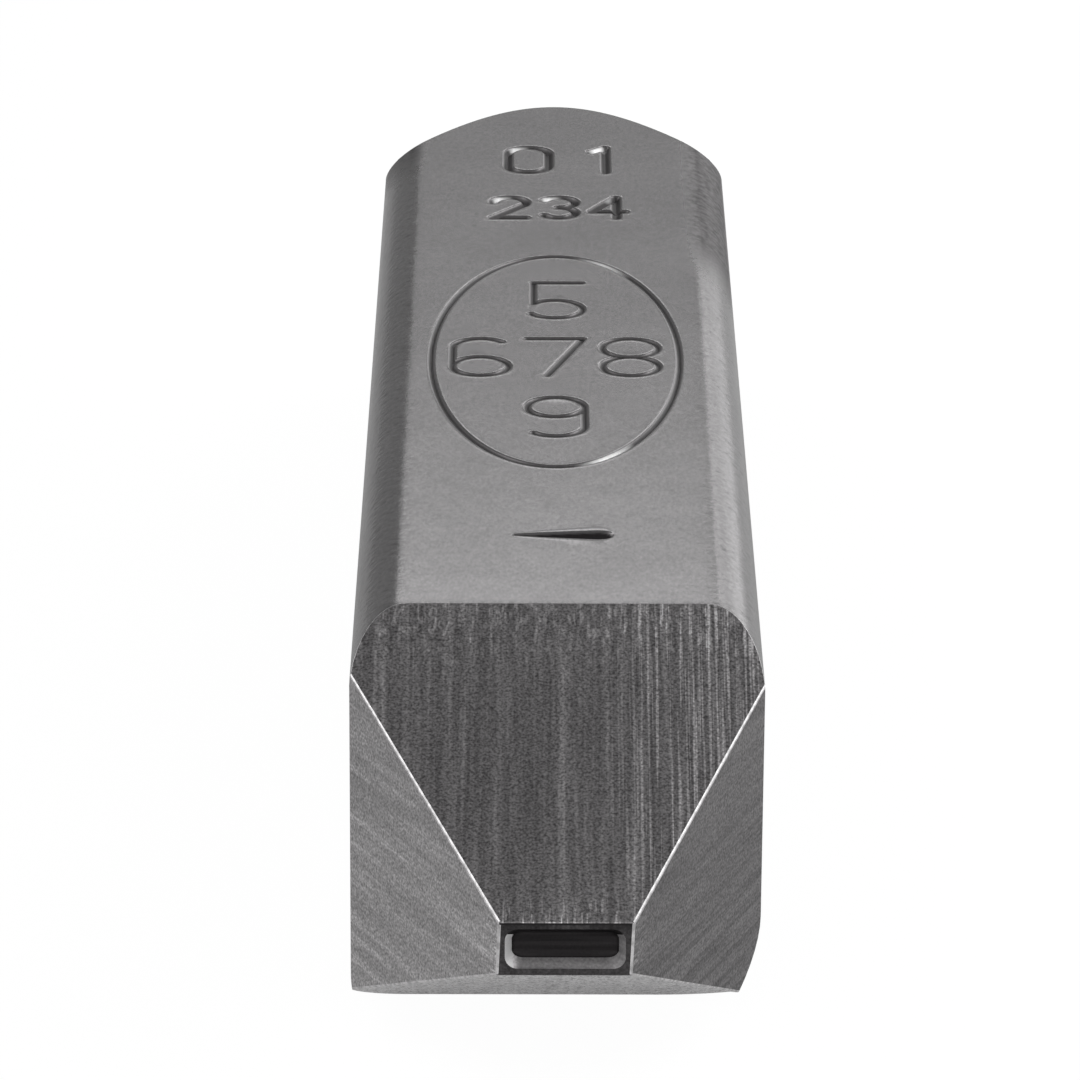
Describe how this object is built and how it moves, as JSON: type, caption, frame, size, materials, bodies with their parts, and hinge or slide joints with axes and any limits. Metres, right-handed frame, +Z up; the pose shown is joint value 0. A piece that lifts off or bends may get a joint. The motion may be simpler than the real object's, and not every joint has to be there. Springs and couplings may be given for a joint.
{
  "type": "steel hand stamp",
  "caption": "Square steel hand stamp: a ground four-sided point with a shallow pocket in its flat tip, struck marks on the upper face, and a turned, tapered head.",
  "frame": {"origin": "middle of the stamp's bounding box, on the flat face that it lies on", "axes": "+Y along the bar from the ground point to the struck head, +Z up out of the marked face, +X to the right seen from the point"},
  "size_m": [0.0158, 0.0888, 0.0159],
  "materials": {
    "tool_steel": "tumbled satin bar, ground bevels"
  },
  "bodies": {
    "root": {"stamp_body": "tool_steel"}
  },
  "joints": []
}
